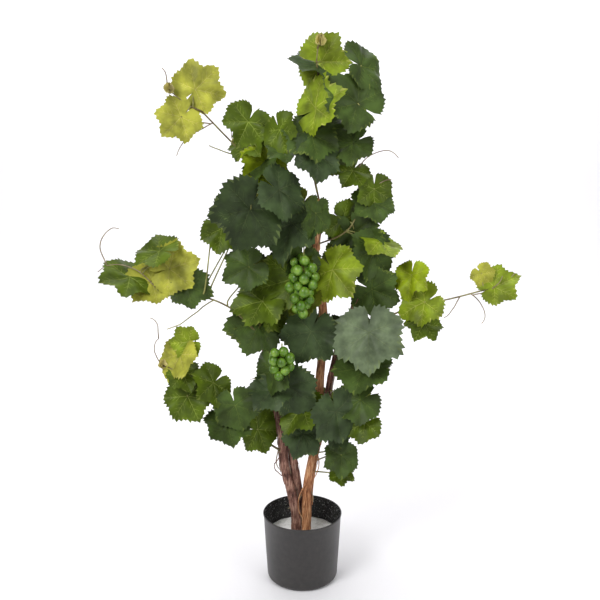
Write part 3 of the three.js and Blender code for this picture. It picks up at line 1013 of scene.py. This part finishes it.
# a mass becomes two pieces, one of leaves and one of all its lines and stalks
leafCount = 0
for node, mass in masses.items():
    draw = random.Random(node)
    low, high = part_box(node)
    middle = (low + high) / 2
    carriers = list(limbPoints)
    stalks = []
    tips = []
    for kind, clock, length, curl in mass.get("lines", []):
        line = strand(carriers, low, high, clock, length * mm, curl, draw)
        tips.append(line[-1])
        thick, thin, index = growth[kind]
        stalks.append((line, (thick * mm, thin * mm), index))
        if kind == "shoot":
            for k in range(3, len(line) - 1, growth["jointEvery"]):
                ahead = (line[k] - line[k - 1]).normalized() * growth["jointHalf"]
                ends = [line[k] - ahead, line[k], line[k] + ahead]
                stalks.append((ends, growth["joint"], shootIndex))
        carriers += line
    bm = bmesh.new()
    ribs = []
    placed = list(outer[node])
    if "bud" in mass:
        placed += bud(tips[0], mass["bud"], draw)
    count, (small, large), dyes = mass.get("grown", (0, (0, 0), []))
    spread = high - low
    nearest, deep = growth["depth"]
    for _ in range(count):
        for attempt in range(growth["tries"]):
            place = low + Vector((draw.random() * spread.x, (nearest + deep * draw.random()) * spread.y,
                                  draw.random() * spread.z))
            within = inside(trees[node], place)
            if "leaves" in mass:
                place.y += draw.random() * growth["back"]
            size = draw.uniform(small, large) * mm * (1 - growth["shrink"] * attempt / growth["tries"])
            outward = math.degrees(math.atan2(place.x - middle.x, growth["around"]))
            tip, face = facing(draw.uniform(*growth["turn"]), 180 - outward + draw.uniform(*growth["yaw"]),
                               draw.uniform(*growth["pitch"]))
            spokes = [(tip * math.cos(math.radians(a)) + tip.cross(face) * math.sin(math.radians(a))) * size
                      for a in range(min(blade["ribs"]), max(blade["ribs"]) + 1, growth["spoke"])]
            tests = [place + spoke * share for share in growth["rims"] for spoke in spokes]
            outside = max(p.y for p in tests) > cadBox[1].y + growth["behind"]
            if not outside and within and all(screened(p) for p in tests):
                dye, fold = draw.choice(dyes), draw.uniform(*growth["fold"])
                placed.append((place, size, tip, face, dye, fold, False))
                break
    for place, size, tip, face, tint, fold, veined in placed:
        shape = leafShape(draw, fold, growth["lobing"][mass["slot"]])
        addLeaf(bm, ribs, place, size, tip, face, tint, shape, veined)
        if tint == "bud":
            continue
        start = nearestLimb(place, face, carriers)
        line = petiole(start, place, tip, face, draw)
        thick, thin, index = growth["stalk"]
        stalks.append((line, (thick * growth["stalkBase"] * mm, thin * mm), index))
    leafCount += len(placed)
    addStrands(bm, ribs)
    addPiece(node.replace("foliage", "leaves"), meshOf(bm, "leaves"), leafMaterials, [node])
    addPiece(node.replace("foliage", "stalks"), strandMesh(stalks, 1), stalkMaterials)
print("leaves ready:", leafCount, "of them outer:", len(shown))

# Soft PVC balls, blown and dip-dyed: clear green with a broad soft shine.
grapeSkin = mottled("grapeVinyl",
                    {"Roughness": 0.34, "IOR": 1.5, "Subsurface Weight": 0.15, "Subsurface Scale": 4 * mm},
                    14, 2.0, 0.5, [(0.35, "#3c5c0e"), (0.5, "#597e1c"), (0.66, "#7d9f3a")])

grape = {
    "radius": 7.9 * mm,
    "uneven": 0.12,
    "tall": 1.06,                        # height as a share of width
    "apart": 0.82,                       # spacing as a share of a diameter
    "swell": (0.2, 0.68, 0.8),           # start, span and power of the half wave that its width follows
    "inmost": 0.15,                      # nearest the middle, as a share of the bunch's radius
    "stem": (1.2 * mm, 0.8 * mm),        # radii of the bunch's own stalk
    "stemAbove": 0.25,                   # how far it stands above the bunch, as a share of its height
    "stalk": (0.8 * mm, 0.6 * mm),       # radii of a grape's stalk
    "stalkRise": 0.08,                   # how far above its grape that stalk starts, in the same way
    "tries": 3000,
}
swellStart, swellSpan, swellPower = grape["swell"]

for name, bunch in bunches.items():
    draw = random.Random(name)
    top, bottom = bunchEnds(bunch)
    bm = bmesh.new()
    stalks = [([top + (top - bottom) * grape["stemAbove"], top, bottom], grape["stem"], 1)]
    balls = []
    for _ in range(grape["tries"]):
        t = draw.random()
        turn = draw.uniform(0, 2 * math.pi)
        radius = grape["radius"] * draw.uniform(1 - grape["uneven"], 1 + grape["uneven"])
        swell = math.sin(math.pi * (swellStart + swellSpan * t)) ** swellPower
        ring = bunch["width"] * mm * swell * draw.uniform(grape["inmost"], 1)
        hub = top.lerp(bottom, t)
        place = hub + Vector((math.cos(turn), math.sin(turn), 0)) * ring
        if any((place - other).length < (radius + size) * grape["apart"] for other, size in balls):
            continue
        balls.append((place, radius))
        made = bmesh.ops.create_uvsphere(bm, u_segments=16, v_segments=10, radius=radius)["verts"]
        bmesh.ops.scale(bm, verts=made, vec=(1, 1, grape["tall"]))
        bmesh.ops.translate(bm, verts=made, vec=place)
        stalks.append(([hub + (top - bottom) * grape["stalkRise"], place], grape["stalk"], 1))
    addStrands(bm, stalks)
    addPiece(name, meshOf(bm, name), [grapeSkin, petioleGreen])
    print(name, len(balls), "grapes")
print("grapes ready")

# Injection-moulded polypropylene, charcoal: satin and dusty outside, with faint scuffs.
potSkin = mottled("potPolypropylene", {"Roughness": 0.42, "IOR": 1.49}, 9, 6.0, 0.7,
                  [(0.4, "#2e2c2b"), (0.75, "#3a3735")], relief=(0.15, 0.2))

# The same plastic, polished by the mould's core: shinier inside, and darker there. Its pale specks are
# painted glints: flecks of colour that stand in for small reflections on the inner wall.
potInside = mottled("potPolypropyleneInside", {"Roughness": 0.15, "IOR": 1.49}, 3, 5.0, 0.75,
                    # the last, pale stop gives the painted glints
                    [(0.54, "#0d0d0d"), (0.6, "#1b1b1b"), (0.63, "#b5b5b2")], relief=(1.0, 3))

# in mm, apart from sides
pot = {
    "wall": 2.4,
    "taper": 7,            # how much less the radius is at the foot than at the rim
    "lip": 1.0,            # how far the rim stands out from the wall
    "band": 5,             # height of the band round the rim
    "bandSlope": 1.2,
    "rimRound": 0.9,
    "foot": 9,             # rounding at the foot
    "recess": 0.6,         # how far the underside is raised inside its ring
    "ring": (14, 13),      # from the edge of the base to where the ring starts and where it stands
    "inner": 4,            # from the rim down to where the inner wall starts
    "turnIn": (8, 6),      # where the inner wall turns in to the floor: height and width
    "floor": 3,
    "sides": 128,
}


def potProfile(low, high):  # (radius, height) from the middle of the underside to the middle of the floor
    height, rim = high.z - low.z, high.x
    base = rim - pot["taper"] * mm
    recess = pot["recess"] * mm
    ringStart, ringStand = [away * mm for away in pot["ring"]]
    wall, foot, lip = pot["wall"] * mm, pot["foot"] * mm, pot["lip"] * mm
    points = [(0, recess), (base - ringStart, recess), (base - ringStand, 0)]
    for k in range(7):  # rounded foot
        a = math.radians(90 * k / 6)
        points.append((base - foot + foot * math.sin(a), foot - foot * math.cos(a)))
    bandLow = height - pot["band"] * mm
    atBand = base + (rim - lip - base) * bandLow / height
    points += [(base + (rim - lip - base) * 0.5, height * 0.5), (atBand, bandLow),
               (atBand + lip * 0.7, bandLow + pot["bandSlope"] * mm)]
    r = pot["rimRound"] * mm
    for k in range(5):  # rounded rim
        a = math.radians(180 * k / 4)
        points.append((rim - r + r * math.cos(a), height - r + r * math.sin(a)))
    floor = pot["floor"] * mm
    turnHigh, turnWide = [away * mm for away in pot["turnIn"]]
    points += [(rim - lip - wall, height - pot["inner"] * mm), (base - wall, floor + turnHigh),
               (base - wall - turnWide, floor), (0, floor)]
    return points


def spun(profile, sides):
    bm = bmesh.new()
    verts = [bm.verts.new((r, 0, z)) for r, z in profile]
    edges = [bm.edges.new(pair) for pair in zip(verts, verts[1:])]
    bmesh.ops.spin(bm, geom=verts + edges, axis=(0, 0, 1), cent=(0, 0, 0), steps=sides, angle=2 * math.pi,
                   use_merge=True)
    bmesh.ops.remove_doubles(bm, verts=bm.verts[:], dist=0.01 * mm)
    bmesh.ops.recalc_face_normals(bm, faces=bm.faces[:])
    return bm


potLow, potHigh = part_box("pot")
bm = spun(potProfile(potLow, potHigh), pot["sides"])
for face in bm.faces:
    middle = face.calc_center_median()
    inward = face.normal.dot(Vector((middle.x, middle.y, 0)).normalized()) < -0.2
    onFloor = middle.z < 20 * mm and face.normal.z > 0.5
    face.material_index = 1 if inward or onFloor else 0
addPiece("pot_shell", meshOf(bm, "pot"), [potSkin, potInside], ["pot"])

# Light cement, poured and left to set: pale grey, floured, with pinholes and a raised edge at the wall.
cement = mottled("pouredCement", {"Roughness": 0.92, "IOR": 1.5}, 5, 8.0, 0.7,
                 [(0.3, "#c4c3c0"), (0.5, "#f0efed"), (0.7, "#f8f7f5")], relief=(0.7, 1.2))

cast = {
    "gap": 0.4 * mm,                  # between cement and wall
    "climb": 0.6 * mm,                # the edge stands so far above the solid's top, the rest so far below
    "lower": (9 * mm, 3 * mm, 8 * mm),  # lower edge: how far in it starts and ends, and how high that is
    "rings": (0.96, 0.06, 16),        # first ring of the top as a share of the radius, step and count
    "lumps": ((90, 0.9 * mm), (260, 0.5 * mm)),  # how many to a metre, and how high
    "sides": 96,
}

plugLow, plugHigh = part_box("cement_plug")
plugRadius = plugHigh.x
wallSide = plugRadius - cast["gap"]
startIn, endIn, endUp = cast["lower"]
firstRing, ringStep, ringCount = cast["rings"]
castTop = plugHigh.z - cast["climb"]
profile = [(0, plugLow.z), (plugRadius - startIn, plugLow.z), (plugRadius - endIn, plugLow.z + endUp),
           (wallSide, plugHigh.z - 2 * mm), (wallSide, plugHigh.z + cast["climb"])]
profile += [(plugRadius * (firstRing - ringStep * k), castTop) for k in range(ringCount)]
profile.append((0, castTop))
bm = spun(profile, cast["sides"])
for v in bm.verts:
    if v.co.z > plugHigh.z - 1 * mm:
        v.co.z += sum(noise.noise(v.co * often) * high for often, high in cast["lumps"])
addPiece("plug_top", meshOf(bm, "plug"), [cement], ["cement_plug"])
print("pot ready")

# In metres: the floor's half width and front edge, then where it bends up, the bend's radius and its top.
stage = {"floor": 4, "front": -3, "wall": 2.2, "bend": 0.5, "top": 4, "colour": "#f2f1f4"}
paper, _ = newMaterial("whitePaper", {"Roughness": 0.9, "Base Color": linear(stage["colour"])})
bm = bmesh.new()
half = stage["floor"]
line = [(stage["front"], 0)] + [(stage["wall"] + stage["bend"] * math.sin(math.radians(a)),
                                 stage["bend"] * (1 - math.cos(math.radians(a)))) for a in range(0, 91, 10)]
line.append((stage["wall"] + stage["bend"], stage["top"]))
verts = [bm.verts.new((-half, y, z)) for y, z in line]
edges = [bm.edges.new(pair) for pair in zip(verts, verts[1:])]
made = bmesh.ops.extrude_edge_only(bm, edges=edges)["geom"]
bmesh.ops.translate(bm, verts=[g for g in made if isinstance(g, bmesh.types.BMVert)], vec=(2 * half, 0, 0))
bmesh.ops.recalc_face_normals(bm, faces=bm.faces[:])
mesh = meshOf(bm, "floor")
mesh.materials.append(paper)
for face in mesh.polygons:
    face.use_smooth = True
floor = bpy.data.objects.new("floor", mesh)
scene.collection.objects.link(floor)

# name: (place, aimed at, size in metres, watts)
lights = {
    "keyLight": ((-1.3, -1.6, 2.0), (0, 0, 0.5), 1.2, 41),
    "fillLight": ((1.5, -1.4, 1.4), (0, 0, 0.5), 1.6, 18),
    "topLight": ((0, 0.2, 2.6), (0, 0, 0.4), 1.6, 10),
    "wallLight": ((0, 1.2, 2.4), (0, 2.6, 0.9), 2.4, 50),
}
for name, (place, target, size, watts) in lights.items():
    data = bpy.data.lights.new(name, "AREA")
    data.shape = "DISK"
    data.size = size
    data.energy = watts
    ob = bpy.data.objects.new(name, data)
    ob.location = place
    ob.rotation_euler = (Vector(target) - Vector(place)).to_track_quat("-Z", "Y").to_euler()
    scene.collection.objects.link(ob)

world = bpy.data.worlds.new("studio")
world.use_nodes = True
world.node_tree.nodes["Background"].inputs["Color"].default_value = (1, 1, 1, 1)
world.node_tree.nodes["Background"].inputs["Strength"].default_value = 0.35
scene.world = world
scene.view_settings.view_transform = "Standard"
addCamera()
print("floor, lights and camera ready")
